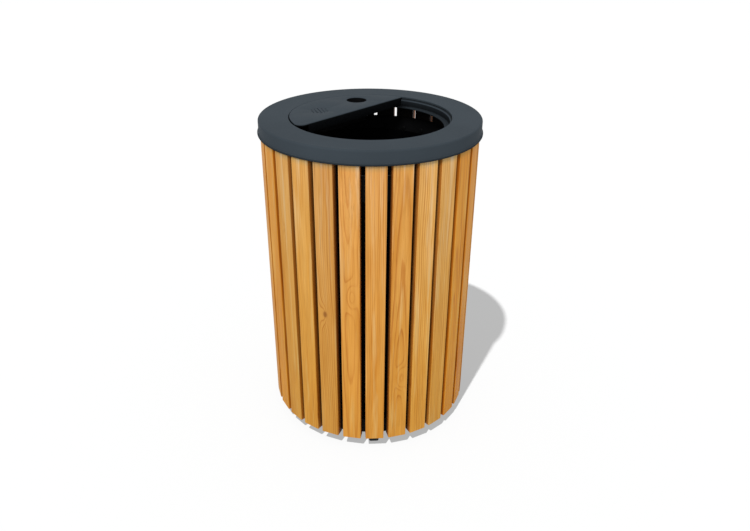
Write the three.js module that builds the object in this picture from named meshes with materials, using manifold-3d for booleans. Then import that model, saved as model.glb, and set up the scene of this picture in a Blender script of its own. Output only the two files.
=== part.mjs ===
// Round slatted litter bin with a steel cover, a half-moon ashtray plate and an inner bucket.
// Units mm, +Z up, origin on the ground under the middle of the bin. The throw-in opening is
// toward -Y, the ashtray plate and the cover hinge are toward +Y.
import * as THREE from "three";
import Module from "manifold-3d";

const wasm = await Module();
wasm.setup();
const { Manifold, Mesh } = wasm;

// ---- driving dimensions -------------------------------------------------------------------
const GROUND_GAP = 31; // ground to the bottom ends of the slats
const COVER_TOP_ABOVE_SLATS = 752.7;
const TOP = GROUND_GAP + COVER_TOP_ABOVE_SLATS; // top face of the cover

const SLATS = 28;
const SLAT_W = 45;
const SLAT_T = 22;
const SLAT_FACE_R = 255.5; // axis to the flat outer face of a slat
const SLAT_ARRIS = 2;
const SLAT_TOP_DEPTH = 2.4; // below the top face of the cover

const COVER_R = 260;
const COVER_T = 2;
const SKIRT_DEPTH = 33.4;
const HEM_R = 262.8;
const OPENING_R = 190;
const LIP_DEPTH = 4.6; // turned-down edge round the opening

const COLLAR_R = 185.3;
const SEAT_DEPTH = 22; // up-facing ledge inside the opening
const SEAT_T = 3;
const SEAT_INNER_R = 172.6;
const SEAT_FLANGE_R = 204;

const PLATE_R = 187.8; // half-moon ashtray plate
const PLATE_SHIFT = 1.8;
const PLATE_CHORD_Y = 54;
const PLATE_CORNER_R = 16;
const PLATE_RELIEF = 3.2; // the edge draws in toward the rounded corner, for a fingertip
const PLATE_T = 2;
const PLATE_LIP = 4.5;
const PLATE_FLANGE = 21.6;
const HOLE = { x: 78, y: 117, r: 25 };
const GRILLE = { x: -54, y: 114, pitch: 10, r: 2.5 };
const PAN_R = 27.5; // ash pan under the hole and the grille, round at both ends
const PAN_FLANGE_R = 32;
const PAN_DEPTH = 46;
const PAN_WALL = 1.2;

const HOOP_R = 233.2; // outer face of the two inner hoops
const HOOP_IN_R = 229.5;
const HOOP_H = 40; // bottom hoop
const TOP_HOOP_H = 58; // reaches down past the rim of the bucket
const TOP_HOOP_DEPTH = 64; // cover top down to the upper edge of the top hoop
const BOTTOM_HOOP_Z = GROUND_GAP + 2.5;
const SCREW_HEAD_R = 5;
const SCREW_HEAD_H = 2.5;

const BASE_R = 229.2;
const BASE_T = 3;

const FOOT_AZ = [-45, 45, 135, -135];
const FOOT_IN_R = 197;
const FOOT_OUT_R = 229;
const FOOT_W = 24;
const BOLT_R = 213; // axis to the foot bolts
const BOLT_SHANK_R = 3;

const BUCKET_RIM_DEPTH = 91;
const BUCKET_RIM_R = 203;
const BUCKET_TOP_R = 200;
const BUCKET_FOOT_R = 186;
const BUCKET_WALL = 1.5;

const HINGE_X = 54.2; // middle of each hinge, in the slat gap next to the rear one
const HINGE_Y = 257.5;
const HINGE_Z = TOP - SKIRT_DEPTH - 6;
const KNUCKLE_R = 4;
const PIN_R = 1.9;

const RING_SEGMENTS = 56; // two to a slat, so ring corners fall on slat and gap centres
const GAP = 0.3;

// ---- materials ------------------------------------------------------------------------------
const mat = (color, roughness, metalness) =>
  new THREE.MeshStandardMaterial({ color, roughness, metalness });
const WOOD = () => mat(0xc98a4b, 0.55, 0);
const PAINT = () => mat(0x464d52, 0.5, 0.1);
const BLACK = () => mat(0x17181a, 0.55, 0.3);
const ZINC = () => mat(0xa9adb0, 0.4, 0.9);
const RUBBER = () => mat(0x111111, 0.85, 0);

// ---- helpers ----------------------------------------------------------------------------------
const root = new THREE.Group();
root.name = "litter_bin";

function add(parent, name, geometry, material) {
  const m = new THREE.Mesh(geometry, material);
  m.name = name;
  parent.add(m);
  return m;
}

function toSolid(geometry) {
  const g = geometry.index ? geometry.toNonIndexed() : geometry;
  const p = g.getAttribute("position").array;
  const key = new Map(), verts = [], tris = [];
  for (let i = 0; i < p.length; i += 3) {
    const k = [p[i], p[i + 1], p[i + 2]].map((v) => Math.round(v * 2000)).join();
    if (!key.has(k)) {
      key.set(k, verts.length / 3);
      verts.push(p[i], p[i + 1], p[i + 2]);
    }
    tris.push(key.get(k));
  }
  const kept = [];
  for (let i = 0; i < tris.length; i += 3)
    if (tris[i] !== tris[i + 1] && tris[i + 1] !== tris[i + 2] && tris[i] !== tris[i + 2])
      kept.push(tris[i], tris[i + 1], tris[i + 2]);
  return new Manifold(
    new Mesh({ numProp: 3, vertProperties: new Float32Array(verts), triVerts: new Uint32Array(kept) }),
  );
}

function toGeometry(solid) {
  const m = solid.getMesh(), n = m.numProp;
  const v = new Float32Array(m.numVert * 3);
  for (let i = 0; i < m.numVert; i++) v.set(m.vertProperties.subarray(i * n, i * n + 3), i * 3);
  return new THREE.BufferGeometry()
    .setAttribute("position", new THREE.BufferAttribute(v, 3))
    .setIndex(new THREE.BufferAttribute(new Uint32Array(m.triVerts), 1));
}

// A ring or a turned body from (radius, z) corners, closed on itself or on the axis.
function turned(points, segments = RING_SEGMENTS) {
  let area = 0;
  points.forEach(([x, y], i) => {
    const [u, v] = points[(i + 1) % points.length];
    area += x * v - u * y;
  });
  const list = area > 0 ? points : [...points].reverse();
  const onAxis = list[0][0] === 0 && list[list.length - 1][0] === 0;
  const profile = list.map(([x, y]) => new THREE.Vector2(x, y));
  if (!onAxis) profile.push(profile[0].clone());
  return new THREE.LatheGeometry(profile, segments).rotateX(Math.PI / 2);
}

// A straight prism from (x, y) corners, between two heights.
function prism(points, z0, z1) {
  const shape = new THREE.Shape(points.map(([x, y]) => new THREE.Vector2(x, y)));
  return new THREE.ExtrudeGeometry(shape, { depth: z1 - z0, bevelEnabled: false }).translate(0, 0, z0);
}

const box = (x0, x1, y0, y1, z0, z1) =>
  new THREE.BoxGeometry(x1 - x0, y1 - y0, z1 - z0).translate((x0 + x1) / 2, (y0 + y1) / 2, (z0 + z1) / 2);

// Upright cylinder; the first corner can be turned.
const post = (r, z0, z1, segments, x = 0, y = 0) =>
  new THREE.CylinderGeometry(r, r, z1 - z0, segments).rotateX(Math.PI / 2).translate(x, y, (z0 + z1) / 2);

// Cylinder along X.
const rod = (r, x0, x1, segments, y, z) =>
  new THREE.CylinderGeometry(r, r, x1 - x0, segments).rotateZ(Math.PI / 2).translate((x0 + x1) / 2, y, z);

// Azimuths are measured from -Y toward +X.
const polar = (r, deg, t = 0) => {
  const a = (deg * Math.PI) / 180;
  return [r * Math.sin(a) + t * Math.cos(a), -r * Math.cos(a) + t * Math.sin(a)];
};

const below = (depth) => TOP - depth;

// ---- slats ------------------------------------------------------------------------------------
const body = new THREE.Group();
root.add(body);
const pitch = 360 / SLATS;
const slatInner = SLAT_FACE_R - SLAT_T;
for (let k = 0; k < SLATS; k++) {
  const az = (k + 0.5) * pitch, h = SLAT_W / 2, c = SLAT_ARRIS;
  const section = [
    polar(slatInner, az, -h),
    polar(SLAT_FACE_R - c, az, -h),
    polar(SLAT_FACE_R, az, -h + c),
    polar(SLAT_FACE_R, az, h - c),
    polar(SLAT_FACE_R - c, az, h),
    polar(slatInner, az, h),
  ];
  add(body, "slat_" + String(k + 1).padStart(2, "0"), prism(section, GROUND_GAP, below(SLAT_TOP_DEPTH)), WOOD());
}

// ---- hoops, each with the heads of the screws that hold the slats -------------------------------
function hoop(z0, z1) {
  let s = toSolid(turned([[HOOP_IN_R, z0], [HOOP_R, z0], [HOOP_R, z1], [HOOP_IN_R, z1]]));
  for (let k = 0; k < SLATS; k++) {
    const az = ((k + 0.5) * pitch * Math.PI) / 180;
    const head = new THREE.CylinderGeometry(SCREW_HEAD_R, SCREW_HEAD_R, SCREW_HEAD_H + 1, 6)
      .translate(0, HOOP_IN_R - SCREW_HEAD_H / 2 + 0.5, 0)
      .rotateZ(Math.PI + az)
      .translate(0, 0, (z0 + z1) / 2);
    s = s.add(toSolid(head));
  }
  return toGeometry(s);
}
add(body, "top_hoop", hoop(below(TOP_HOOP_DEPTH + TOP_HOOP_H), below(TOP_HOOP_DEPTH)), BLACK());
add(body, "bottom_hoop", hoop(BOTTOM_HOOP_Z, BOTTOM_HOOP_Z + HOOP_H), BLACK());

// ---- base plate ---------------------------------------------------------------------------------
{
  let s = toSolid(post(BASE_R, BOTTOM_HOOP_Z, BOTTOM_HOOP_Z + BASE_T, RING_SEGMENTS));
  for (const az of FOOT_AZ) {
    const [x, y] = polar(BOLT_R, az);
    s = s.subtract(toSolid(post(BOLT_SHANK_R + GAP, 0, 60, 12, x, y)));
  }
  add(body, "base_plate", toGeometry(s), BLACK());
}

// ---- feet, with a bolt and a nut each --------------------------------------------------------------
FOOT_AZ.forEach((az, i) => {
  const top = BOTTOM_HOOP_Z - GAP, h = FOOT_W / 2, c = 3;
  const outline = [
    polar(FOOT_IN_R, az, -h + c), polar(FOOT_IN_R, az, h - c),
    polar(FOOT_IN_R + c, az, h), polar(FOOT_OUT_R - c, az, h),
    polar(FOOT_OUT_R, az, h - c), polar(FOOT_OUT_R, az, -h + c),
    polar(FOOT_OUT_R - c, az, -h), polar(FOOT_IN_R + c, az, -h),
  ];
  const [x, y] = polar(BOLT_R, az);
  let foot = toSolid(prism(outline, 0, top));
  foot = foot.subtract(toSolid(post(8, -1, 7, 16, x, y)));
  foot = foot.subtract(toSolid(post(BOLT_SHANK_R + GAP, 5, 60, 12, x, y)));
  add(body, "foot_" + (i + 1), toGeometry(foot), RUBBER());

  const bolt = toSolid(post(6.5, 2.2, 7 - GAP, 12, x, y))
    .add(toSolid(post(BOLT_SHANK_R, 5, BOTTOM_HOOP_Z + BASE_T + 7, 12, x, y)));
  add(body, "foot_bolt_" + (i + 1), toGeometry(bolt), ZINC());

  const z = BOTTOM_HOOP_Z + BASE_T + GAP;
  const nut = toSolid(post(5.7, z, z + 5, 6, x, y)).subtract(toSolid(post(BOLT_SHANK_R + GAP, z - 1, z + 6, 12, x, y)));
  add(body, "foot_nut_" + (i + 1), toGeometry(nut), ZINC());
});

// ---- cover: sheet with a turned-down lip, skirt and rolled hem -----------------------------------
const cover = new THREE.Group();
root.add(cover);
add(cover, "cover_ring", turned([
  [OPENING_R, below(LIP_DEPTH)],
  [OPENING_R, below(1)],
  [OPENING_R + 1, below(0)],
  [COVER_R - 4, below(0)],
  [COVER_R - 1.2, below(1.2)],
  [COVER_R, below(4)],
  [COVER_R, below(28.4)],
  [HEM_R, below(30)],
  [HEM_R, below(32.2)],
  [HEM_R - 1, below(SKIRT_DEPTH)],
  [COVER_R - COVER_T + 0.6, below(SKIRT_DEPTH)],
  [COVER_R - COVER_T, below(SKIRT_DEPTH - 0.8)],
  [COVER_R - COVER_T, below(3.2)],
  [COVER_R - COVER_T - 0.9, below(COVER_T)],
  [OPENING_R + COVER_T, below(COVER_T)],
  [OPENING_R + COVER_T, below(LIP_DEPTH)],
]), PAINT());

const flangeTop = LIP_DEPTH + GAP;
add(cover, "seat_ring", turned([
  [SEAT_FLANGE_R, below(flangeTop)],
  [189, below(flangeTop)],
  [COLLAR_R, below(9.1)],
  [COLLAR_R, below(SEAT_DEPTH)],
  [SEAT_INNER_R, below(SEAT_DEPTH)],
  [SEAT_INNER_R, below(SEAT_DEPTH + SEAT_T)],
  [COLLAR_R + 2, below(SEAT_DEPTH + SEAT_T)],
  [COLLAR_R + 2, below(9.9)],
  [189.8, below(flangeTop + 2)],
  [SEAT_FLANGE_R, below(flangeTop + 2)],
]), PAINT());

// ---- ashtray plate ----------------------------------------------------------------------------------
// The half-moon outline, set in by d: arc, rounded corner at -X, chord, sharp corner at +X.
function halfMoon(d) {
  const R = PLATE_R - d, cy = PLATE_SHIFT, chord = PLATE_CHORD_Y + d, rc = PLATE_CORNER_R - d;
  const fx = -Math.sqrt((R - PLATE_RELIEF - rc) ** 2 - (chord + rc - cy) ** 2), fy = chord + rc;
  const pts = [];
  const a0 = Math.asin((chord - cy) / R);
  const a1 = Math.atan2(fy - cy, fx);
  const aR = (125 * Math.PI) / 180; // where the edge starts to draw in
  const n = 34;
  for (let i = 0; i <= n; i++) {
    const a = a0 + ((a1 - a0) * i) / n;
    const u = Math.min(1, Math.max(0, (a - aR) / (a1 - aR)));
    const r = R - PLATE_RELIEF * u * u * (3 - 2 * u);
    pts.push([r * Math.cos(a), cy + r * Math.sin(a)]);
  }
  const m = 6, b1 = (3 * Math.PI) / 2;
  for (let i = 1; i <= m; i++) {
    const a = a1 + ((b1 - a1) * i) / m;
    pts.push([fx + rc * Math.cos(a), fy + rc * Math.sin(a)]);
  }
  return pts;
}
// Round-ended outline from the grille to the hole.
function raceTrack(r) {
  const pts = [], n = 10;
  const dir = Math.atan2(HOLE.y - GRILLE.y, HOLE.x - GRILLE.x);
  for (let i = 0; i <= n; i++) {
    const a = dir - Math.PI / 2 + (Math.PI * i) / n;
    pts.push([HOLE.x + r * Math.cos(a), HOLE.y + r * Math.sin(a)]);
  }
  for (let i = 0; i <= n; i++) {
    const a = dir + Math.PI / 2 + (Math.PI * i) / n;
    pts.push([GRILLE.x + r * Math.cos(a), GRILLE.y + r * Math.sin(a)]);
  }
  return pts;
}
const plateGroup = new THREE.Group();
root.add(plateGroup);
{
  const outer = halfMoon(0), inner = halfMoon(PLATE_T);
  const sheet = toSolid(prism(outer, below(PLATE_T), below(0)));
  const rim = (depth) =>
    toSolid(prism(outer, below(depth), below(1))).subtract(toSolid(prism(inner, below(depth + 1), below(0.5))));
  const flange = rim(PLATE_FLANGE)
    .intersect(toSolid(post(COLLAR_R - 0.6, 0, TOP + 5, RING_SEGMENTS)))
    .intersect(toSolid(box(-146, 250, 0, 58, 0, TOP + 5)));
  let s = sheet.add(rim(PLATE_LIP)).add(flange);
  s = s.subtract(toSolid(post(HOLE.r, below(10), TOP + 5, 28, HOLE.x, HOLE.y)));
  const { pitch: p } = GRILLE;
  for (let i = -2; i <= 2; i++)
    for (let j = -2; j <= 2; j++) {
      if (Math.abs(i + j) > 2) continue;
      const x = GRILLE.x + p * (i + j / 2), y = GRILLE.y + p * j * Math.sqrt(0.75);
      s = s.subtract(toSolid(post(GRILLE.r, below(10), TOP + 5, 6, x, y)));
    }
  const parts = s.decompose().sort((a, b) => b.volume() - a.volume());
  add(plateGroup, "ashtray_plate", toGeometry(parts[0]), PAINT());

  const t = PLATE_T + GAP;
  const race = (r, z0, z1) => toSolid(prism(raceTrack(r), z0, z1));
  const pan = race(PAN_R - 2, below(PAN_DEPTH), below(PAN_DEPTH - 4))
    .add(race(PAN_R, below(PAN_DEPTH - 2), below(t)))
    .add(race(PAN_FLANGE_R, below(t + PAN_WALL), below(t)))
    .subtract(race(PAN_R - PAN_WALL, below(PAN_DEPTH - 2 - PAN_WALL), below(0)))
    .subtract(race(PAN_R - 2 - PAN_WALL, below(PAN_DEPTH - PAN_WALL), below(0)));
  add(plateGroup, "ash_pan", toGeometry(pan), BLACK());
}

// ---- hinges: fixed bracket, pin and two ears on each side -------------------------------------------
[["l", -1], ["r", 1]].forEach(([side, s]) => {
  const cx = HINGE_X;
  const flip = (solid) => (s < 0 ? solid.mirror([1, 0, 0]) : solid);
  const bore = toSolid(rod(PIN_R + GAP, 20, 90, 12, HINGE_Y, HINGE_Z));
  const hoopTop = below(TOP_HOOP_DEPTH);
  const bracket = toSolid(rod(KNUCKLE_R, cx - 4, cx + 4, 16, HINGE_Y, HINGE_Z))
    .add(toSolid(box(cx - 1.65, cx + 0.95, 215.6, 255, HINGE_Z - 4.5, HINGE_Z + 3.4)))
    .add(toSolid(box(cx - 1.65, cx + 0.95, 215.6, 221.9, hoopTop - 34, HINGE_Z)))
    .subtract(bore);
  add(body, "hinge_bracket_" + side, toGeometry(flip(bracket)), BLACK());

  const x0 = cx - 4 - GAP - 4.6, x1 = cx + 4 + GAP + 4.6;
  const pin = toSolid(rod(PIN_R, x0 - 0.5, x1 + 0.5, 12, HINGE_Y, HINGE_Z))
    .add(toSolid(rod(3, x0 - 2, x0 - GAP, 12, HINGE_Y, HINGE_Z)))
    .add(toSolid(rod(3, x1 + GAP, x1 + 2, 12, HINGE_Y, HINGE_Z)));
  add(body, "hinge_pin_" + side, toGeometry(flip(pin)), ZINC());

  const ear = (a, b, y0, y1) =>
    toSolid(rod(KNUCKLE_R, a, b, 16, HINGE_Y, HINGE_Z))
      .add(toSolid(box(a, b, y0, y1, HINGE_Z, below(SKIRT_DEPTH + GAP))))
      .subtract(bore);
  add(cover, "hinge_ear_" + side + "_in", toGeometry(flip(ear(x0, x0 + 4.6, 253.6, 259.6))), PAINT());
  add(cover, "hinge_ear_" + side + "_out", toGeometry(flip(ear(x1 - 4.6, x1, 251, 258))), PAINT());
});

// ---- bucket -------------------------------------------------------------------------------------------
const bucket = new THREE.Group();
root.add(bucket);
{
  const z0 = BOTTOM_HOOP_Z + BASE_T + GAP, z1 = below(BUCKET_RIM_DEPTH), w = BUCKET_WALL;
  add(bucket, "bucket", turned([
    [0, z0],
    [BUCKET_FOOT_R - 3, z0],
    [BUCKET_FOOT_R, z0 + 4],
    [BUCKET_TOP_R, z1 - 5],
    [BUCKET_RIM_R, z1 - 5],
    [BUCKET_RIM_R, z1 - 1],
    [BUCKET_RIM_R - 1, z1],
    [BUCKET_TOP_R - w, z1],
    [BUCKET_FOOT_R - w, z0 + 5],
    [BUCKET_FOOT_R - w - 3, z0 + w],
    [0, z0 + w],
  ], 48), BLACK());
  [["l", -1], ["r", 1]].forEach(([side, s]) => {
    const zt = z1 - 40, x = 216;
    const grip = toSolid(box(x, x + 3, -40, 40, zt - 20, zt))
      .add(toSolid(box(199.2, x + 1, -40, -36, zt - 20, zt)))
      .add(toSolid(box(199.2, x + 1, 36, 40, zt - 20, zt)));
    add(bucket, "bucket_grip_" + side, toGeometry(s < 0 ? grip.mirror([1, 0, 0]) : grip), BLACK());
  });
}

export default root;
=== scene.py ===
# Litter bin: materials, fine pieces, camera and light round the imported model.
import math
import random

import bmesh
import bpy
from mathutils import Matrix, Vector


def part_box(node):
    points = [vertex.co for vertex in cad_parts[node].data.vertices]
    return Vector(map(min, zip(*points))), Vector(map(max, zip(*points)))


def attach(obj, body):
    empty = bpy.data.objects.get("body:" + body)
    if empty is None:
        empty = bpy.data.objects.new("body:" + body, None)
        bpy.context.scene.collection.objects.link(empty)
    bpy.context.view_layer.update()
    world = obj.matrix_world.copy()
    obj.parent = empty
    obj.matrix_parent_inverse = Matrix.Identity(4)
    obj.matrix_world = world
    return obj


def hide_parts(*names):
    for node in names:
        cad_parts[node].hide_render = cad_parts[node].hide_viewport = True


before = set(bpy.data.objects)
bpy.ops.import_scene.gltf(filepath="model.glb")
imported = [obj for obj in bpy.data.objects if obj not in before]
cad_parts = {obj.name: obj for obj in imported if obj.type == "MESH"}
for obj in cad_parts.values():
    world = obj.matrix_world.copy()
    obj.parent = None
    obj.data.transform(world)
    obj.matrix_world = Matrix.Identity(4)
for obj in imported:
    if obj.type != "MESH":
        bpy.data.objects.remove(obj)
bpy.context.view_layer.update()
MM = 0.001
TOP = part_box("cover_ring")[1].z if hasattr(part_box("cover_ring")[1], "z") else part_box("cover_ring")[1][2]
SLAT_Z0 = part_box("slat_01")[0][2]
SLAT_Z1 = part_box("slat_01")[1][2]
scene = bpy.context.scene

# ------------------------------------------------------------------ small helpers


def link(obj):
    scene.collection.objects.link(obj)
    return obj


def mesh_object(name, verts, faces, smooth=True, sharp=32):
    me = bpy.data.meshes.new(name)
    me.from_pydata([tuple(v) for v in verts], [], faces)
    me.validate()
    bm = bmesh.new()
    bm.from_mesh(me)
    bmesh.ops.remove_doubles(bm, verts=bm.verts, dist=1e-6)
    bmesh.ops.recalc_face_normals(bm, faces=bm.faces)
    bm.to_mesh(me)
    bm.free()
    if smooth:
        me.polygons.foreach_set("use_smooth", [True] * len(me.polygons))
        me.set_sharp_from_angle(angle=math.radians(sharp))
    return link(bpy.data.objects.new(name, me))


def rounded(points, closed=True, steps=5):
    """(r, z, fillet) corners in mm to a profile with fillets and a support point beside each fillet."""
    out = []
    n = len(points)
    for i, (x, y, rad) in enumerate(points):
        if (not closed and i in (0, n - 1)) or rad <= 0:
            out.append((x, y))
            continue
        p = Vector((x, y))
        a = Vector(points[i - 1][:2]) - p
        b = Vector(points[(i + 1) % n][:2]) - p
        la, lb = a.length, b.length
        a.normalize()
        b.normalize()
        ang = a.angle(b)
        t = min(rad / math.tan(ang / 2), la * 0.49, lb * 0.49)
        rr = t * math.tan(ang / 2)
        c = p + (a + b).normalized() * (rr / math.sin(ang / 2))
        s, e = p + a * t, p + b * t
        if la * 0.49 > t + 0.35:
            out.append(tuple(p + a * (t + 0.3)))
        a0 = math.atan2((s - c).y, (s - c).x)
        a1 = math.atan2((e - c).y, (e - c).x)
        d = (a1 - a0 + math.pi) % (2 * math.pi) - math.pi
        for k in range(steps + 1):
            q = a0 + d * k / steps
            out.append((c.x + rr * math.cos(q), c.y + rr * math.sin(q)))
        if lb * 0.49 > t + 0.35:
            out.append(tuple(p + b * (t + 0.3)))
    return out


def lathe(name, profile, segments=224, closed=True, centre=(0, 0)):
    """profile of (r, z) in mm, z from the ground. An open profile starts and ends on the axis."""
    verts, faces = [], []
    n = len(profile)
    for k in range(segments):
        a = 2 * math.pi * k / segments
        c, s = math.cos(a), math.sin(a)
        for r, z in profile:
            verts.append(((r * c + centre[0]) * MM, (r * s + centre[1]) * MM, z * MM))
    for k in range(segments):
        k2 = (k + 1) % segments
        for i in range(n if closed else n - 1):
            j = (i + 1) % n
            faces.append((k * n + i, k2 * n + i, k2 * n + j, k * n + j))
    return mesh_object(name, verts, faces)


def bevel_cad(node, width=0.0006, segments=2, angle=40):
    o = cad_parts[node]
    m = o.modifiers.new("bevel", "BEVEL")
    m.width = width
    m.segments = segments
    m.limit_method = "ANGLE"
    m.angle_limit = math.radians(angle)
    m.harden_normals = False
    return o


def paint(obj, material):
    obj.data.materials.clear()
    obj.data.materials.append(material)


# ------------------------------------------------------------------ materials


class Nodes:
    def __init__(self, name):
        self.m = bpy.data.materials.new(name)
        self.m.use_nodes = True
        self.t = self.m.node_tree
        self.b = self.t.nodes["Principled BSDF"]

    def n(self, kind, **props):
        x = self.t.nodes.new(kind)
        for k, v in props.items():
            if k == "inputs":
                for key, val in v.items():
                    x.inputs[key].default_value = val
            else:
                setattr(x, k, v)
        return x

    def l(self, a, b):
        self.t.links.new(a, b)

    def math(self, op, a, b=None, c=None, clamp=False):
        x = self.n("ShaderNodeMath", operation=op, use_clamp=clamp)
        for i, v in enumerate((a, b, c)):
            if v is None:
                continue
            if isinstance(v, (int, float)):
                x.inputs[i].default_value = v
            else:
                self.l(v, x.inputs[i])
        return x.outputs[0]

    def scale(self, vec, s):
        x = self.n("ShaderNodeVectorMath", operation="MULTIPLY")
        self.l(vec, x.inputs[0])
        x.inputs[1].default_value = s
        return x.outputs[0]

    def noise(self, vec, scale, detail=3.0, rough=0.5, dims="3D", w=None):
        x = self.n("ShaderNodeTexNoise", noise_dimensions=dims)
        x.inputs["Scale"].default_value = scale
        x.inputs["Detail"].default_value = detail
        x.inputs["Roughness"].default_value = rough
        if dims == "1D":
            self.l(w, x.inputs["W"])
        else:
            self.l(vec, x.inputs["Vector"])
        return x.outputs[0]

    def ramp(self, fac, stops, interp="LINEAR"):
        x = self.n("ShaderNodeValToRGB")
        x.color_ramp.interpolation = interp
        els = x.color_ramp.elements
        while len(els) > 1:
            els.remove(els[-1])
        for i, (p, c) in enumerate(stops):
            e = els[0] if i == 0 else els.new(p)
            e.position = p
            e.color = c if len(c) == 4 else (*c, 1)
        self.l(fac, x.inputs[0])
        return x.outputs[0]

    def mix(self, fac, a, b, mode="MIX"):
        x = self.n("ShaderNodeMix", data_type="RGBA", blend_type=mode)
        for sock, v in ((x.inputs[0], fac), (x.inputs[6], a), (x.inputs[7], b)):
            if isinstance(v, (int, float)):
                sock.default_value = v
            elif isinstance(v, tuple):
                sock.default_value = v if len(v) == 4 else (*v, 1)
            else:
                self.l(v, sock)
        return x.outputs[2]

    def bump(self, height, strength, distance):
        x = self.n("ShaderNodeBump")
        x.inputs["Strength"].default_value = strength
        x.inputs["Distance"].default_value = distance
        self.l(height, x.inputs["Height"])
        self.l(x.outputs[0], self.b.inputs["Normal"])


def grey(v):
    return (v, v, v, 1)


def make_wood():
    w = Nodes("pine_oiled")
    at = w.n("ShaderNodeAttribute", attribute_type="GEOMETRY", attribute_name="wood").outputs["Vector"]
    kn = w.n("ShaderNodeAttribute", attribute_type="GEOMETRY", attribute_name="knot").outputs["Vector"]
    tone_and_shade = w.n("ShaderNodeAttribute", attribute_type="GEOMETRY", attribute_name="tone_and_shade").outputs["Vector"]
    ksep = w.n("ShaderNodeSeparateXYZ")
    w.l(kn, ksep.inputs[0])
    # distance from the pith, pushed about by slow and quick warps
    ln = w.n("ShaderNodeVectorMath", operation="LENGTH")
    w.l(w.scale(at, (1, 1, 0)), ln.inputs[0])
    slow = w.noise(w.scale(at, (1, 1, 0.22)), 9.0, 2.0, 0.45)
    quick = w.noise(w.scale(at, (1, 1, 0.07)), 90.0, 2.0, 0.55)
    r = w.math("ADD", ln.outputs["Value"], w.math("MULTIPLY", w.math("SUBTRACT", slow, 0.5), 0.026))
    r = w.math("ADD", r, w.math("MULTIPLY", w.math("SUBTRACT", quick, 0.5), 0.0017))
    # an eye in the grain: the rings close round it
    kl = w.n("ShaderNodeVectorMath", operation="LENGTH")
    w.l(w.scale(kn, (1, 0, 0.34)), kl.inputs[0])
    kd = w.math("ADD", kl.outputs["Value"], w.math("MULTIPLY", w.math("SUBTRACT", quick, 0.5), 0.0025))
    swirl = w.math("EXPONENT", w.math("MULTIPLY", w.math("POWER", w.math("DIVIDE", kd, 0.012), 2.0), -1.0))
    r = w.math("ADD", r, w.math("MULTIPLY", swirl, 0.015))
    jitter = w.noise(None, 70.0, 2.0, 0.6, "1D", r)
    phase = w.math("ADD", w.math("DIVIDE", r, 0.0047), w.math("MULTIPLY", jitter, 1.8))
    ring = w.math("FRACT", phase)
    late = w.ramp(ring, [(0.0, grey(0.10)), (0.14, grey(0.0)), (0.50, grey(0.08)), (0.74, grey(0.42)), (0.88, grey(1.0)), (0.95, grey(0.80)), (1.0, grey(0.10))])
    strength = w.noise(w.scale(at, (1, 1, 0.10)), 22.0, 3.0, 0.6)
    late = w.math("MULTIPLY", late, w.math("MULTIPLY_ADD", w.math("SUBTRACT", strength, 0.34), 3.1, 0.06, clamp=True))
    # colour
    blotch = w.noise(w.scale(at, (1, 1, 0.10)), 30.0, 3.0, 0.6)
    early = w.ramp(blotch, [(0.32, (0.524, 0.256, 0.060)), (0.50, (0.500, 0.232, 0.046)), (0.68, (0.458, 0.187, 0.026))])
    dark = w.ramp(blotch, [(0.32, (0.350, 0.112, 0.013)), (0.68, (0.270, 0.078, 0.007))])
    col = w.mix(w.math("MULTIPLY", late, 0.90), early, dark)
    # pale sapwood streaks
    pale = w.noise(w.scale(at, (1, 1, 0.045)), 64.0, 3.0, 0.62)
    pale = w.ramp(pale, [(0.53, grey(0)), (0.68, grey(0.66))])
    col = w.mix(pale, col, (0.540, 0.335, 0.138))
    fibre = w.noise(w.scale(at, (1, 1, 0.014)), 1150.0, 2.0, 0.6)
    streak = w.noise(w.scale(at, (1, 1, 0.018)), 300.0, 3.0, 0.65)
    f = w.math("MULTIPLY_ADD", w.math("SUBTRACT", fibre, 0.5), 0.16, 1.0)
    f = w.math("MULTIPLY_ADD", w.math("SUBTRACT", streak, 0.5), 0.46, f)
    # fine dark checks along the grain
    check = w.noise(w.scale(at, (1, 1, 0.010)), 520.0, 2.0, 0.5)
    f = w.math("MULTIPLY", f, w.ramp(check, [(0.64, grey(1.0)), (0.73, grey(0.80))]))
    fc = w.n("ShaderNodeCombineColor")
    w.l(f, fc.inputs[0])
    w.l(w.math("MULTIPLY_ADD", w.math("SUBTRACT", streak, 0.5), 0.10, f), fc.inputs[1])
    w.l(w.math("MULTIPLY_ADD", w.math("SUBTRACT", streak, 0.5), 0.40, f), fc.inputs[2])
    col = w.mix(1.0, col, fc.outputs[0], "MULTIPLY")
    # the board's tone as red, green and blue factors: its own tone, with painted light and shade by side and height
    col = w.mix(1.0, col, tone_and_shade, "MULTIPLY")
    # knot heart
    hd = w.n("ShaderNodeVectorMath", operation="LENGTH")
    w.l(w.scale(kn, (1, 0, 0.62)), hd.inputs[0])
    heart = w.ramp(w.math("DIVIDE", w.math("ADD", hd.outputs["Value"], w.math("MULTIPLY", w.math("SUBTRACT", streak, 0.5), 0.002)), 0.0080), [(0.0, grey(1)), (0.45, grey(0.85)), (0.62, grey(0.30)), (0.95, grey(0.0))])
    heart = w.math("MULTIPLY", heart, ksep.outputs[1])
    kcol = w.mix(fibre, (0.150, 0.052, 0.010), (0.235, 0.085, 0.016))
    col = w.mix(w.math("MULTIPLY", heart, 0.9), col, kcol)
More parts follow.
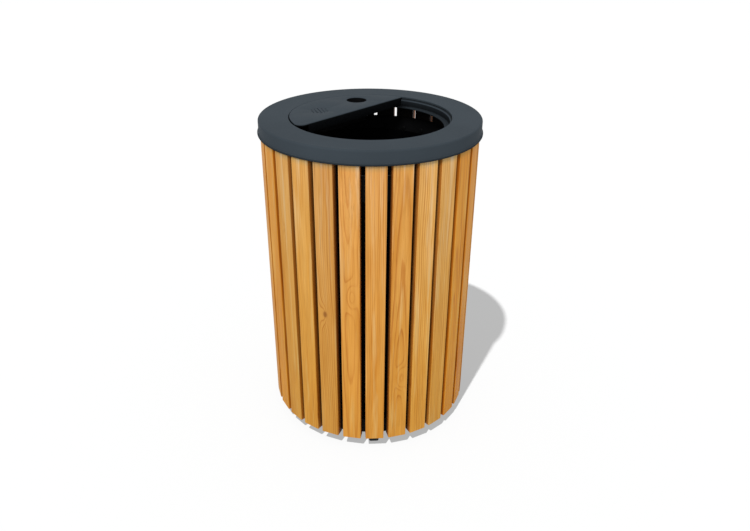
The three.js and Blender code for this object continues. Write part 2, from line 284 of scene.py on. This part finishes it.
    # painted shade: the back of a board is painted near-black for the shade inside the bin, fading out along its sides
    back_shade = w.n("ShaderNodeAttribute", attribute_type="GEOMETRY", attribute_name="back_shade").outputs["Fac"]
    back_shade_mask = w.math("MULTIPLY_ADD", w.math("SUBTRACT", streak, 0.5), 0.30, back_shade)
    back_shade_colour = w.mix(fibre, (0.006, 0.0055, 0.005), (0.012, 0.0105, 0.009))
    col = w.mix(w.ramp(back_shade_mask, [(0.16, grey(0)), (0.50, grey(0.45)), (0.85, grey(0.90)), (0.97, grey(1))]), col, back_shade_colour)
    w.l(col, w.b.inputs["Base Color"])
    rough = w.math("MULTIPLY_ADD", late, -0.06, w.math("MULTIPLY_ADD", streak, 0.20, 0.46))
    w.l(rough, w.b.inputs["Roughness"])
    w.b.inputs["Specular IOR Level"].default_value = 0.09
    h = w.math("MULTIPLY_ADD", late, 0.6, w.math("MULTIPLY", fibre, 0.55))
    w.bump(h, 0.35, 0.00022)
    return w.m


def make_coat(name, low, high, rough=0.46, spec=0.18, peel=0.25):
    """Powder coat: fine orange peel, slow drift of tone, a few specks of dust."""
    w = Nodes(name)
    co = w.n("ShaderNodeTexCoord").outputs["Object"]
    drift = w.noise(co, 7.0, 3.0, 0.5)
    fine = w.noise(co, 1300.0, 2.0, 0.55)
    cell = w.noise(co, 420.0, 2.0, 0.5)
    f = w.math("MULTIPLY_ADD", w.math("SUBTRACT", fine, 0.5), 0.5, drift)
    col = w.ramp(f, [(0.30, low), (0.70, high)])
    dust = w.ramp(w.noise(co, 240.0, 4.0, 0.75), [(0.66, grey(0)), (0.74, grey(0.10))])
    col = w.mix(dust, col, (0.22, 0.22, 0.21))
    # painted shade: the paint is darkened on the hem, the folds and the hidden faces
    painted_shade = w.n("ShaderNodeAttribute", attribute_type="GEOMETRY", attribute_name="painted_shade").outputs["Fac"]
    painted_shade = w.math("MULTIPLY", painted_shade, w.math("MULTIPLY_ADD", w.math("SUBTRACT", cell, 0.5), 0.25, 1.0), clamp=True)
    col = w.mix(painted_shade, col, (0.0022, 0.0024, 0.0027))
    w.l(col, w.b.inputs["Base Color"])
    w.l(w.math("MULTIPLY_ADD", w.math("SUBTRACT", cell, 0.5), 0.16, rough), w.b.inputs["Roughness"])
    w.b.inputs["Specular IOR Level"].default_value = spec
    w.bump(w.math("MULTIPLY_ADD", cell, 0.7, w.math("MULTIPLY", fine, 0.3)), peel, 0.00012)
    return w.m


def make_rubber():
    w = Nodes("foot_rubber")
    co = w.n("ShaderNodeTexCoord").outputs["Object"]
    n1 = w.noise(co, 90.0, 4.0, 0.6)
    n2 = w.noise(co, 1500.0, 2.0, 0.5)
    w.l(w.ramp(n1, [(0.3, (0.006, 0.006, 0.006)), (0.7, (0.016, 0.016, 0.017))]), w.b.inputs["Base Color"])
    w.l(w.math("MULTIPLY_ADD", n1, 0.2, 0.68), w.b.inputs["Roughness"])
    w.b.inputs["Specular IOR Level"].default_value = 0.2
    w.bump(n2, 0.4, 0.0002)
    return w.m


def make_zinc():
    w = Nodes("zinc_plate")
    co = w.n("ShaderNodeTexCoord").outputs["Object"]
    n1 = w.noise(co, 160.0, 4.0, 0.6)
    n2 = w.noise(w.scale(co, (1, 1, 0.1)), 2200.0, 2.0, 0.5)
    w.l(w.ramp(n1, [(0.3, (0.42, 0.43, 0.44)), (0.7, (0.60, 0.61, 0.62))]), w.b.inputs["Base Color"])
    w.l(w.math("MULTIPLY_ADD", n1, 0.22, 0.24), w.b.inputs["Roughness"])
    w.b.inputs["Metallic"].default_value = 1.0
    w.bump(n2, 0.15, 0.0001)
    return w.m


WOOD = make_wood()
COAT = make_coat("anthracite_coat", (0.0316, 0.0402, 0.0482), (0.0360, 0.0458, 0.0548), rough=0.5, spec=0.008)
BLACK = make_coat("black_coat", (0.0026, 0.0027, 0.0030), (0.0052, 0.0053, 0.0058), rough=0.5, spec=0.05)
# near-black paint, made darker still as painted shade for the dark inside of the bin
LINER = make_coat("liner_coat_and_shade", (0.0004, 0.0004, 0.0005), (0.0009, 0.0009, 0.0011), rough=0.42, spec=0.03, peel=0.15)
RUBBER = make_rubber()
ZINC = make_zinc()

# ------------------------------------------------------------------ slats

SLATS, W, T, FACE_R, ARRIS = 28, 45.0, 22.0, 255.5, 2.0
# Tone of each board as factors on red, green and blue: partly the board's own colour, partly painted light and shade
# for the side of the bin it stands on.
TONES_AND_PAINTED_LIGHT = {
    19: (0.90, 0.84, 0.60), 20: (0.92, 0.84, 0.44), 21: (0.87, 0.92, 0.86), 22: (0.93, 0.97, 0.88),
    23: (0.85, 0.87, 0.88), 24: (0.97, 0.93, 0.84), 25: (0.98, 0.96, 0.91), 26: (0.98, 0.97, 0.89),
    27: (1.06, 1.16, 1.22), 28: (0.95, 1.02, 1.00), 1: (0.97, 0.88, 0.45), 2: (0.98, 0.87, 0.45),
}
# Boards with an eye in the grain: (across, above the lower end) in mm and 1 for a knot in it.
KNOTS = {
    24: (3.0, 408.0, 0), 23: (-4.0, 352.0, 1), 26: (6.0, 178.0, 0), 21: (3.0, 540.0, 0),
    3: (4.0, 610.0, 1), 6: (-7.0, 240.0, 0), 9: (2.0, 480.0, 1), 12: (8.0, 130.0, 0), 15: (-5.0, 560.0, 0), 18: (5.0, 330.0, 1),
}
# Log position of some boards: pith across and behind the face in mm, and its lean both ways.
LOGS = {
    24: (0.5, -31.0, 0.004, -0.070), 26: (3.0, -22.0, -0.006, 0.030), 25: (-46.0, -12.0, 0.006, 0.016),
    23: (38.0, -16.0, 0.010, 0.014), 22: (-55.0, -20.0, -0.006, 0.020), 27: (58.0, -10.0, 0.004, -0.018),
    28: (30.0, -22.0, 0.012, 0.020), 1: (-8.0, -20.0, 0.004, 0.026), 21: (48.0, -18.0, 0.008, 0.016),
    20: (-40.0, -14.0, -0.008, 0.020), 2: (44.0, -16.0, 0.006, -0.016), 19: (-10.0, -24.0, 0.006, 0.022),
}
# Height above the lower end in mm and the factors there: lighter and less yellow toward the top, with a narrow band of
# painted shadow just under the hem.
HEIGHT_TINT_AND_HEM_SHADE = [
    (0.0, (0.973, 0.955, 0.72)), (330.0, (1.03, 1.02, 0.93)), (600.0, (1.09, 1.13, 1.35)), (703.0, (1.12, 1.18, 1.58)),
    (709.0, (0.98, 1.12, 1.70)), (715.0, (0.78, 1.00, 1.80)), (718.0, (0.78, 1.00, 1.80)),
    (725.0, (1.12, 1.18, 1.50)), (751.0, (1.13, 1.18, 1.50)),
]


def height_tint_and_hem_shade(z):
    for (za, ca), (zb, cb) in zip(HEIGHT_TINT_AND_HEM_SHADE, HEIGHT_TINT_AND_HEM_SHADE[1:]):
        if z <= zb:
            return [a + (b - a) * (z - za) / (zb - za) for a, b in zip(ca, cb)]
    return HEIGHT_TINT_AND_HEM_SHADE[-1][1]


def slat_section():
    """Corners in mm as (across, out), out 0 at the back face, with rounded arrises."""
    pts = []
    h = W / 2
    for cx, cy, a0, rad in (
        (h - ARRIS, T - ARRIS, 0, ARRIS),
        (-h + ARRIS, T - ARRIS, 90, ARRIS),
        (-h + 0.8, 0.8, 180, 0.8),
        (h - 0.8, 0.8, 270, 0.8),
    ):
        for k in range(5):
            a = math.radians(a0 + 90 * k / 4)
            pts.append((cx + rad * math.cos(a), cy + rad * math.sin(a)))
    return pts


SECTION = slat_section()


def slat(index):
    name = "board_%02d" % index
    rnd = random.Random(977 + 31 * index)
    az = math.radians((index - 0.5) * 360 / SLATS)
    out = Vector((math.sin(az), -math.cos(az), 0))
    across = Vector((math.cos(az), math.sin(az), 0))
    z0, z1 = SLAT_Z0 / MM, SLAT_Z1 / MM
    levels = [(z0, 0.7), (z0 + 0.25, 0.2), (z0 + 0.8, 0.0)]
    n_mid = 10
    levels += [(z0 + (z1 - z0) * k / n_mid, 0.0) for k in range(1, n_mid)]
    # extra rings of vertices for the painted shadow under the hem
    levels += [(z0 + 703, 0.0), (z0 + 709, 0.0), (z0 + 715, 0.0), (z0 + 718, 0.0), (z0 + 725, 0.0)]
    levels += [(z1 - 0.8, 0.0), (z1 - 0.25, 0.2), (z1, 0.7)]
    verts, local = [], []
    for z, inset in levels:
        for t, o in SECTION:
            tt = t * (1 - inset / (W / 2))
            oo = T / 2 + (o - T / 2) * (1 - inset / (T / 2))
            p = across * tt + out * (FACE_R - T + oo)
            verts.append((p.x * MM, p.y * MM, z * MM))
            local.append((tt, oo, z - z0))
    n = len(SECTION)
    faces = [tuple(range(n - 1, -1, -1)), tuple(range((len(levels) - 1) * n, len(levels) * n))]
    for k in range(len(levels) - 1):
        for i in range(n):
            j = (i + 1) % n
            faces.append((k * n + i, k * n + j, (k + 1) * n + j, (k + 1) * n + i))
    me = bpy.data.meshes.new(name)
    me.from_pydata(verts, [], faces)
    bm = bmesh.new()
    bm.from_mesh(me)
    bmesh.ops.recalc_face_normals(bm, faces=bm.faces)
    bm.to_mesh(me)
    bm.free()
    # log coordinates: the pith runs behind or beside the board and leans a little
    style = rnd.random()
    if style < 0.62:  # flat sawn
        px, py = rnd.uniform(-13, 13), -rnd.uniform(14, 34)
    else:  # nearer quarter sawn
        px, py = rnd.choice((-1, 1)) * rnd.uniform(34, 60), -rnd.uniform(4, 30)
    lean_x, lean_y = rnd.uniform(-0.016, 0.016), rnd.choice((-1, 1)) * rnd.uniform(0.012, 0.038)
    zoff = rnd.uniform(0, 40000)
    if index in LOGS:
        px, py, lean_x, lean_y = LOGS[index]
    kx, kz, kh = KNOTS.get(index, (900, -3000, 0))
    for attr, kind in (("wood", "FLOAT_VECTOR"), ("knot", "FLOAT_VECTOR"), ("tone_and_shade", "FLOAT_VECTOR"), ("back_shade", "FLOAT")):
        me.attributes.new(attr, kind, "POINT")
    wood, knot, tone_and_shade, back_shade = (me.attributes[attr] for attr in ("wood", "knot", "tone_and_shade", "back_shade"))
    base = TONES_AND_PAINTED_LIGHT.get(index)
    if base is None:
        v, h = rnd.uniform(0.88, 1.02), rnd.uniform(-0.04, 0.04)
        base = (v, v * (0.99 + h), v * (0.84 + 2.6 * h))
    bend = 0.18 if index == 24 else 1.0  # this log runs straighter below 525 mm
    for i, (t, o, z) in enumerate(local):
        rise = z - 370 if z > 525 else 155 + bend * (z - 525)
        wood.data[i].vector = (
            (t - px + lean_x * (z - 370)) * MM,
            (o - T - py + lean_y * rise) * MM,
            (z + zoff) * MM,
        )
        knot.data[i].vector = ((t - kx) * MM, kh, (z - kz) * MM)
        # painted shade: the side faces of each board are darkened and browned, as in the narrow gaps
        side = (0.80, 0.55, 0.28) if abs(t) > W / 2 - 0.15 else (1, 1, 1)
        tone_and_shade.data[i].vector = [c * f * q for c, f, q in zip(base, height_tint_and_hem_shade(z), side)]
        # painted shade: marks the back face of each board for the near-black painted shade
        back_shade.data[i].value = 1.0 if o < 1 else 0.0
    o = link(bpy.data.objects.new(name, me))
    o.data.materials.append(WOOD)
    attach(o, "body")
    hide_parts("slat_%02d" % index)
    return o


for k in range(1, SLATS + 1):
    slat(k)

# ------------------------------------------------------------------ cover

T0 = TOP / MM


def d(depth):
    return T0 - depth


def paint_shade(obj, rule):
    """Write the painted-shade attribute from a rule on (radius, depth below the cover top, x, y) in mm."""
    at = obj.data.attributes.new("painted_shade", "FLOAT", "POINT")
    for i, v in enumerate(obj.data.vertices):
        at.data[i].value = rule(math.hypot(v.co.x, v.co.y) / MM, (TOP - v.co.z) / MM, v.co.x / MM, v.co.y / MM)


cover = lathe("cover_sheet", rounded([
    (190.0, d(4.6), 0.5),
    (190.0, d(0.0), 1.2),
    (260.0, d(0.0), 4.0),
    (260.0, d(28.3), 1.0),
    (262.75, d(29.6), 1.4),
    (262.75, d(33.3), 1.5),
    (258.5, d(33.3), 0.5),
    (258.0, d(32.0), 0.6),
    (258.0, d(2.0), 2.0),
    (192.0, d(2.0), 0.6),
    (192.0, d(4.6), 0.5),
]))


def ease(v, lo_, hi_):
    u = min(1.0, max(0.0, (v - lo_) / (hi_ - lo_)))
    return u * u * (3 - 2 * u)


def cover_painted_shade(r, dep, x, y):
    # painted shade on the hem bead
    if r > 259.5:  # the hem bead
        return 0.48 * ease(dep, 28.4, 29.8) + 0.40 * ease(dep, 31.0, 33.0)
    # painted shade on the faces under the cover and, more lightly, round the lip of the opening
    if r > 200 and dep > 2.5:
        return 0.9
    return 0.25 * ease(dep, 0.8, 3.5) if r < 195 else 0.0


# Painted shade on the seat ring: its collar, ledge and hidden faces are darkened.
def seat_painted_shade(r, dep, x, y):
    under = ease(y, 20, 56)  # painted shade, deeper toward and under the ashtray plate
    if dep > 23.5 or r > 187:
        return 0.8
    if dep > 21.6 and r < 184.5:
        return 0.54 + 0.40 * under
    return max(0.86 * ease(dep, 8.4, 10.6), 0.28 * under) + 0.10 * under * ease(dep, 8.4, 10.6)


paint_shade(cover, cover_painted_shade)
paint(cover, COAT)
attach(cover, "cover")
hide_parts("cover_ring")

seat = lathe("cover_seat", rounded([
    (204.0, d(4.9), 0.4),
    (189.0, d(4.9), 1.2),
    (185.3, d(9.1), 1.6),
    (185.3, d(22.0), 1.6),
    (172.6, d(22.0), 0.9),
    (172.6, d(25.0), 0.9),
    (187.3, d(25.0), 2.6),
    (187.3, d(9.9), 1.2),
    (189.8, d(6.9), 1.0),
    (204.0, d(6.9), 0.4),
]))
paint_shade(seat, seat_painted_shade)
paint(seat, COAT)
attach(seat, "cover")
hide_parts("seat_ring")

# ------------------------------------------------------------------ ashtray plate

PR, PSHIFT, PCHORD, PCORNER, PRELIEF = 187.8, 1.8, 54.0, 16.0, 3.2
HOLE = (78.0, 117.0, 25.0)
GRILLE = (-54.0, 114.0, 10.0, 2.5)
N_ARC, N_FIL = 150, 24
CHORD_X = [-146, -144.5, -140, -120, -80, -40, 0, 40, 80, 120, 150, 170, 175, 176.4, 176.6, 178.5]


def half_moon(inset):
    R, chord, rc = PR - inset, PCHORD + inset, PCORNER - inset
    fx = -math.sqrt((R - PRELIEF - rc) ** 2 - (chord + rc - PSHIFT) ** 2)
    fy = chord + rc
    a0 = math.asin((chord - PSHIFT) / R)
    a1 = math.atan2(fy - PSHIFT, fx)
    pts = []
    for i in range(N_ARC + 1):
        a = a0 + (a1 - a0) * i / N_ARC
        u = min(1.0, max(0.0, (a - math.radians(125)) / (a1 - math.radians(125))))
        r = R - PRELIEF * u * u * (3 - 2 * u)
        pts.append((r * math.cos(a), PSHIFT + r * math.sin(a)))
    for i in range(1, N_FIL + 1):
        a = a1 + (1.5 * math.pi - a1) * i / N_FIL
        pts.append((fx + rc * math.cos(a), fy + rc * math.sin(a)))
    for x in CHORD_X:
        pts.append((x, chord))
    return pts


def make_plate():
    n = N_ARC + 1 + N_FIL + len(CHORD_X)
    base = half_moon(0)
    # fold radius and depth of the turned-down edge at each point
    fold, deep = [], []
    for i, (x, y) in enumerate(base):
        on_chord = i > N_ARC and y < 72
        fold.append(2.8 if on_chord and x < 176.5 else 0.9)
        deep.append(21.6 if i > N_ARC and y < 54.5 and -145 < x < 176.5 else 4.4)
    cache = {}

    def at(i, inset):
        key = round(inset, 4)
        if key not in cache:
            cache[key] = half_moon(inset)
        return cache[key][i]

    def hole_wall(bm, cx, cy, r, seg):
        rings = []
        for rr, dd in ((r + 0.45, 0.0), (r + 0.13, 0.13), (r, 0.45), (r, 1.55), (r + 0.13, 1.87), (r + 0.45, 2.0)):
            rings.append([bm.verts.new(((cx + rr * math.cos(2 * math.pi * k / seg)) * MM, (cy + rr * math.sin(2 * math.pi * k / seg)) * MM, d(dd) * MM)) for k in range(seg)])
        for a, b in zip(rings, rings[1:]):
            for k in range(seg):
                bm.faces.new((a[k], a[(k + 1) % seg], b[(k + 1) % seg], b[k]))
        return rings[0], rings[-1]

    bm = bmesh.new()
    loops = []
    for k in range(6):
        a = math.pi / 2 * k / 5
        loops.append([(at(i, fold[i] * (1 - math.sin(a))), fold[i] * (1 - math.cos(a))) for i in range(n)])
    loops.append([(at(i, 0.0), deep[i] - 0.5) for i in range(n)])
    loops.append([(at(i, 0.3), deep[i]) for i in range(n)])
    loops.append([(at(i, 1.7), deep[i]) for i in range(n)])
    loops.append([(at(i, 2.0), deep[i] - 0.5) for i in range(n)])
    loops.append([(at(i, 2.0), 2.6) for i in range(n)])
    loops.append([(at(i, 2.6), 2.0) for i in range(n)])
    rows = [[bm.verts.new((p[0] * MM, p[1] * MM, d(dep) * MM)) for p, dep in loop] for loop in loops]
    for a, b in zip(rows, rows[1:]):
        for i in range(n):
            j = (i + 1) % n
            bm.faces.new((a[i], a[j], b[j], b[i]))
    tops, bottoms = [rows[0]], [rows[-1]]
    t, b = hole_wall(bm, *HOLE, 72)
    tops.append(t)
    bottoms.append(b)
    gx, gy, gp, gr = GRILLE
    for i in range(-2, 3):
        for j in range(-2, 3):
            if abs(i + j) > 2:
                continue
            t, b = hole_wall(bm, gx + gp * (i + j / 2), gy + gp * j * math.sqrt(0.75), gr, 20)
            tops.append(t)
            bottoms.append(b)
    for group in (tops, bottoms):
        edges = []
        for ring in group:
            for k in range(len(ring)):
                e = bm.edges.get((ring[k], ring[(k + 1) % len(ring)]))
                edges.append(e or bm.edges.new((ring[k], ring[(k + 1) % len(ring)])))
        bmesh.ops.triangle_fill(bm, use_beauty=True, use_dissolve=False, edges=edges)
    bmesh.ops.recalc_face_normals(bm, faces=bm.faces)
    me = bpy.data.meshes.new("ashtray_lid")
    bm.to_mesh(me)
    bm.free()
    flat = []
    for p in me.polygons:
        zs = [me.vertices[i].co.z for i in p.vertices]
        flat.append(max(zs) - min(zs) > 2e-6)
    me.polygons.foreach_set("use_smooth", flat)
    me.set_sharp_from_angle(angle=math.radians(50))
    o = link(bpy.data.objects.new("ashtray_lid", me))
    return o


plate = make_plate()
# painted shade on the turned-down edge of the plate
paint_shade(plate, lambda r, dep, x, y: 0.96 if dep > 1.2 else 0.0)
paint(plate, COAT)
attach(plate, "ashtray")
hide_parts("ashtray_plate")


def race(r, seg=20):
    a0 = math.atan2(HOLE[1] - GRILLE[1], HOLE[0] - GRILLE[0])
    pts = []
    for i in range(seg + 1):
        a = a0 - math.pi / 2 + math.pi * i / seg
        pts.append((HOLE[0] + r * math.cos(a), HOLE[1] + r * math.sin(a)))
    for i in range(seg + 1):
        a = a0 + math.pi / 2 + math.pi * i / seg
        pts.append((GRILLE[0] + r * math.cos(a), GRILLE[1] + r * math.sin(a)))
    return pts


def make_pan():
    prof = rounded([
        (22.0, d(46.0), 0), (27.5, d(46.0), 4.0), (27.5, d(3.5), 0.9), (32.0, d(3.5), 0.4), (32.0, d(2.3), 0.4),
        (26.3, d(2.3), 1.0), (26.3, d(44.8), 3.2), (22.0, d(44.8), 0),
    ], closed=False, steps=4)
    rows = [[(x, y, z) for x, y in race(r)] for r, z in prof]
    n = len(rows[0])
    verts = [(x * MM, y * MM, z * MM) for row in rows for x, y, z in row]
    faces = []
    for k in range(len(rows) - 1):
        for i in range(n):
            j = (i + 1) % n
            faces.append((k * n + i, k * n + j, (k + 1) * n + j, (k + 1) * n + i))
    faces.append(tuple(range(n)))
    faces.append(tuple((len(rows) - 1) * n + i for i in range(n)))
    return mesh_object("ash_pan_fine", verts, faces, sharp=40)


pan = make_pan()
paint(pan, BLACK)
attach(pan, "ashtray")
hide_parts("ash_pan")

# ------------------------------------------------------------------ bucket

lo_b, hi_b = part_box("bucket")
bz0, bz1 = lo_b[2] / MM, hi_b[2] / MM


def wall_r(z):  # outer radius of the tapered wall
    return 186.0 + (200.0 - 186.0) * (z - bz0 - 4) / (bz1 - 5 - bz0 - 4)


prof = [(0, bz0 + 0.05), (60, bz0 + 0.05), (182.0, bz0 + 0.05), (184.6, bz0 + 0.9), (185.9, bz0 + 3.6)]
for zc in (120.0, 330.0, 520.0):  # rolled stiffening swages, pressed inwards
    z = bz0 + zc
    for dz, dr in ((-9, 0), (-6, -0.25), (-3, -0.9), (0, -1.2), (3, -0.9), (6, -0.25), (9, 0)):
        prof.append((wall_r(z + dz) + dr, z + dz))
prof += [(wall_r(bz1 - 6), bz1 - 6)]
for k in range(9):  # rolled rim
    a = math.radians(-120 + 240 * k / 8)
    prof.append((200.7 + 2.25 * math.cos(a), bz1 - 2.45 + 2.25 * math.sin(a)))
w_ = 1.5
prof += [(198.6, bz1 - 1.2), (198.4, bz1 - 3.0)]
for zc in (520.0, 330.0, 120.0):
    z = bz0 + zc
    for dz, dr in ((9, 0), (6, -0.25), (3, -0.9), (0, -1.2), (-3, -0.9), (-6, -0.25), (-9, 0)):
        prof.append((wall_r(z + dz) - w_ + dr, z + dz))
prof += [(184.4, bz0 + 5.0), (183.0, bz0 + 2.6), (181.0, bz0 + 1.6), (60, bz0 + 1.6), (0, bz0 + 1.6)]
liner = lathe("bucket_liner", prof, 160, closed=False)
paint(liner, LINER)
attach(liner, "bucket")
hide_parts("bucket")

# ------------------------------------------------------------------ screw heads on the hoops


def screw_heads(name, z):
    """Button heads with a hexagon socket, over the plain heads of the hoop."""
    verts, faces = [], []
    seg = 18
    dome = [(5.6, -0.6), (5.6, 0.9), (5.2, 1.9), (4.2, 2.7), (3.0, 3.1)]
    for k in range(SLATS):
        az = math.radians((k + 0.5) * 360 / SLATS)
        out = Vector((math.sin(az), -math.cos(az), 0))
        across = Vector((math.cos(az), math.sin(az), 0))
        rings = []
        for r, h in dome + [(2.7, 3.1), (2.7, 1.6)]:
            ring = []
            for i in range(seg):
                a = 2 * math.pi * i / seg
                rr = r
                if r == 2.7:  # the hexagon
                    rr = 2.45 / math.cos((a % (math.pi / 3)) - math.pi / 6)
                p = across * (rr * math.cos(a)) + out * (229.5 - h) + Vector((0, 0, z + rr * math.sin(a)))
                ring.append(len(verts))
                verts.append((p.x * MM, p.y * MM, p.z * MM))
            rings.append(ring)
        for a, b in zip(rings, rings[1:]):
            for i in range(seg):
                j = (i + 1) % seg
                faces.append((a[i], a[j], b[j], b[i]))
        faces.append(tuple(rings[-1]))
        faces.append(tuple(reversed(rings[0])))
    o = mesh_object(name, verts, faces, sharp=35)
    paint(o, BLACK)
    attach(o, "body")
    return o


for nm, node in (("screws_top", "top_hoop"), ("screws_bottom", "bottom_hoop")):
    a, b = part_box(node)
    screw_heads(nm, (a[2] + b[2]) / 2 / MM)

# ------------------------------------------------------------------ carried-over pieces

for node in ("top_hoop", "bottom_hoop", "base_plate", "hinge_bracket_l", "hinge_bracket_r"):
    paint(bevel_cad(node, 0.0005), BLACK)
for node in ("bucket_grip_l", "bucket_grip_r"):
    paint(bevel_cad(node, 0.0009, 3), LINER)
for i in range(1, 5):
    paint(bevel_cad("foot_%d" % i, 0.0012, 3), RUBBER)
    paint(bevel_cad("foot_bolt_%d" % i, 0.0005), ZINC)
    paint(bevel_cad("foot_nut_%d" % i, 0.0004), ZINC)
for side in "lr":
    paint(bevel_cad("hinge_pin_" + side, 0.0004), ZINC)
    for which in ("in", "out"):
        paint(bevel_cad("hinge_ear_%s_%s" % (side, which), 0.0005), COAT)

# ------------------------------------------------------------------ floor, light and camera

TURN = math.radians(-48.42)  # the camera's heading in the bin's own frame


def turned(x, y, z):
    c, s = math.cos(TURN), math.sin(TURN)
    return Vector((c * x - s * y, s * x + c * y, z))


me = bpy.data.meshes.new("floor")
S = 60
me.from_pydata([(-S, -S, 0), (S, -S, 0), (S, S, 0), (-S, S, 0)], [], [(0, 1, 2, 3)])
floor = link(bpy.data.objects.new("floor", me))
fl = Nodes("floor_pale")
fl.b.inputs["Base Color"].default_value = (0.08, 0.08, 0.08, 1)
fl.b.inputs["Emission Color"].default_value = (0.992, 0.998, 1.0, 1)
fl.b.inputs["Emission Strength"].default_value = 0.425
fl.b.inputs["Roughness"].default_value = 0.9
fl.b.inputs["Specular IOR Level"].default_value = 0.0
floor.data.materials.append(fl.m)

world = bpy.data.worlds.new("studio")
scene.world = world
world.use_nodes = True
bg = world.node_tree.nodes["Background"]
bg.inputs[0].default_value = (1, 1, 1, 1)
bg.inputs[1].default_value = 1.0

def sun_lamp(name, energy, angle, toward):
    lamp = bpy.data.lights.new(name, "SUN")
    lamp.energy = energy
    lamp.angle = math.radians(angle)
    o = link(bpy.data.objects.new(name, lamp))
    o.rotation_mode = "QUATERNION"
    o.rotation_quaternion = toward.normalized().to_track_quat("Z", "Y")
    o.location = toward.normalized() * 4
    return o


# A low soft key from the front and a soft light from above fall on the bin; a third falls on the
# floor alone, which keeps the floor white and gives it one clear pale shadow.
key = sun_lamp("key", 1.75, 14, turned(-0.38, -1.0, 0.88))
over = sun_lamp("over", 0.35, 24, turned(0.0, 0.45, 1.0))
wash = sun_lamp("floor_wash", 22.6, 1.2, turned(-0.2435, -0.5081, 1.0))
only_floor = bpy.data.collections.new("only_floor")
only_floor.objects.link(floor)
wash.light_linking.receiver_collection = only_floor
not_floor = bpy.data.collections.new("not_floor")
not_floor.objects.link(floor)
not_floor.collection_objects[0].light_linking.link_state = "EXCLUDE"
for lamp in (key, over):
    lamp.light_linking.receiver_collection = not_floor

cam = bpy.data.cameras.new("camera")
cam.sensor_width = 36
cam.sensor_fit = "HORIZONTAL"
cam.lens = 33.25
cam.clip_start, cam.clip_end = 0.05, 200
camera = link(bpy.data.objects.new("camera", cam))
rot = Matrix.Rotation(TURN, 4, "Z") @ Matrix.Rotation(math.radians(90 - 27.78), 4, "X") @ Matrix.Rotation(math.radians(0.404), 4, "Z")
R_UNIT = 0.260
camera.matrix_world = Matrix.Translation(turned(0.0512 * R_UNIT, -6.1179 * R_UNIT, 4.5938 * R_UNIT + SLAT_Z0)) @ rot
scene.camera = camera

scene.view_settings.view_transform = "Standard"
scene.view_settings.look = "None"
scene.view_settings.exposure = 0.0
scene.view_settings.gamma = 1.0
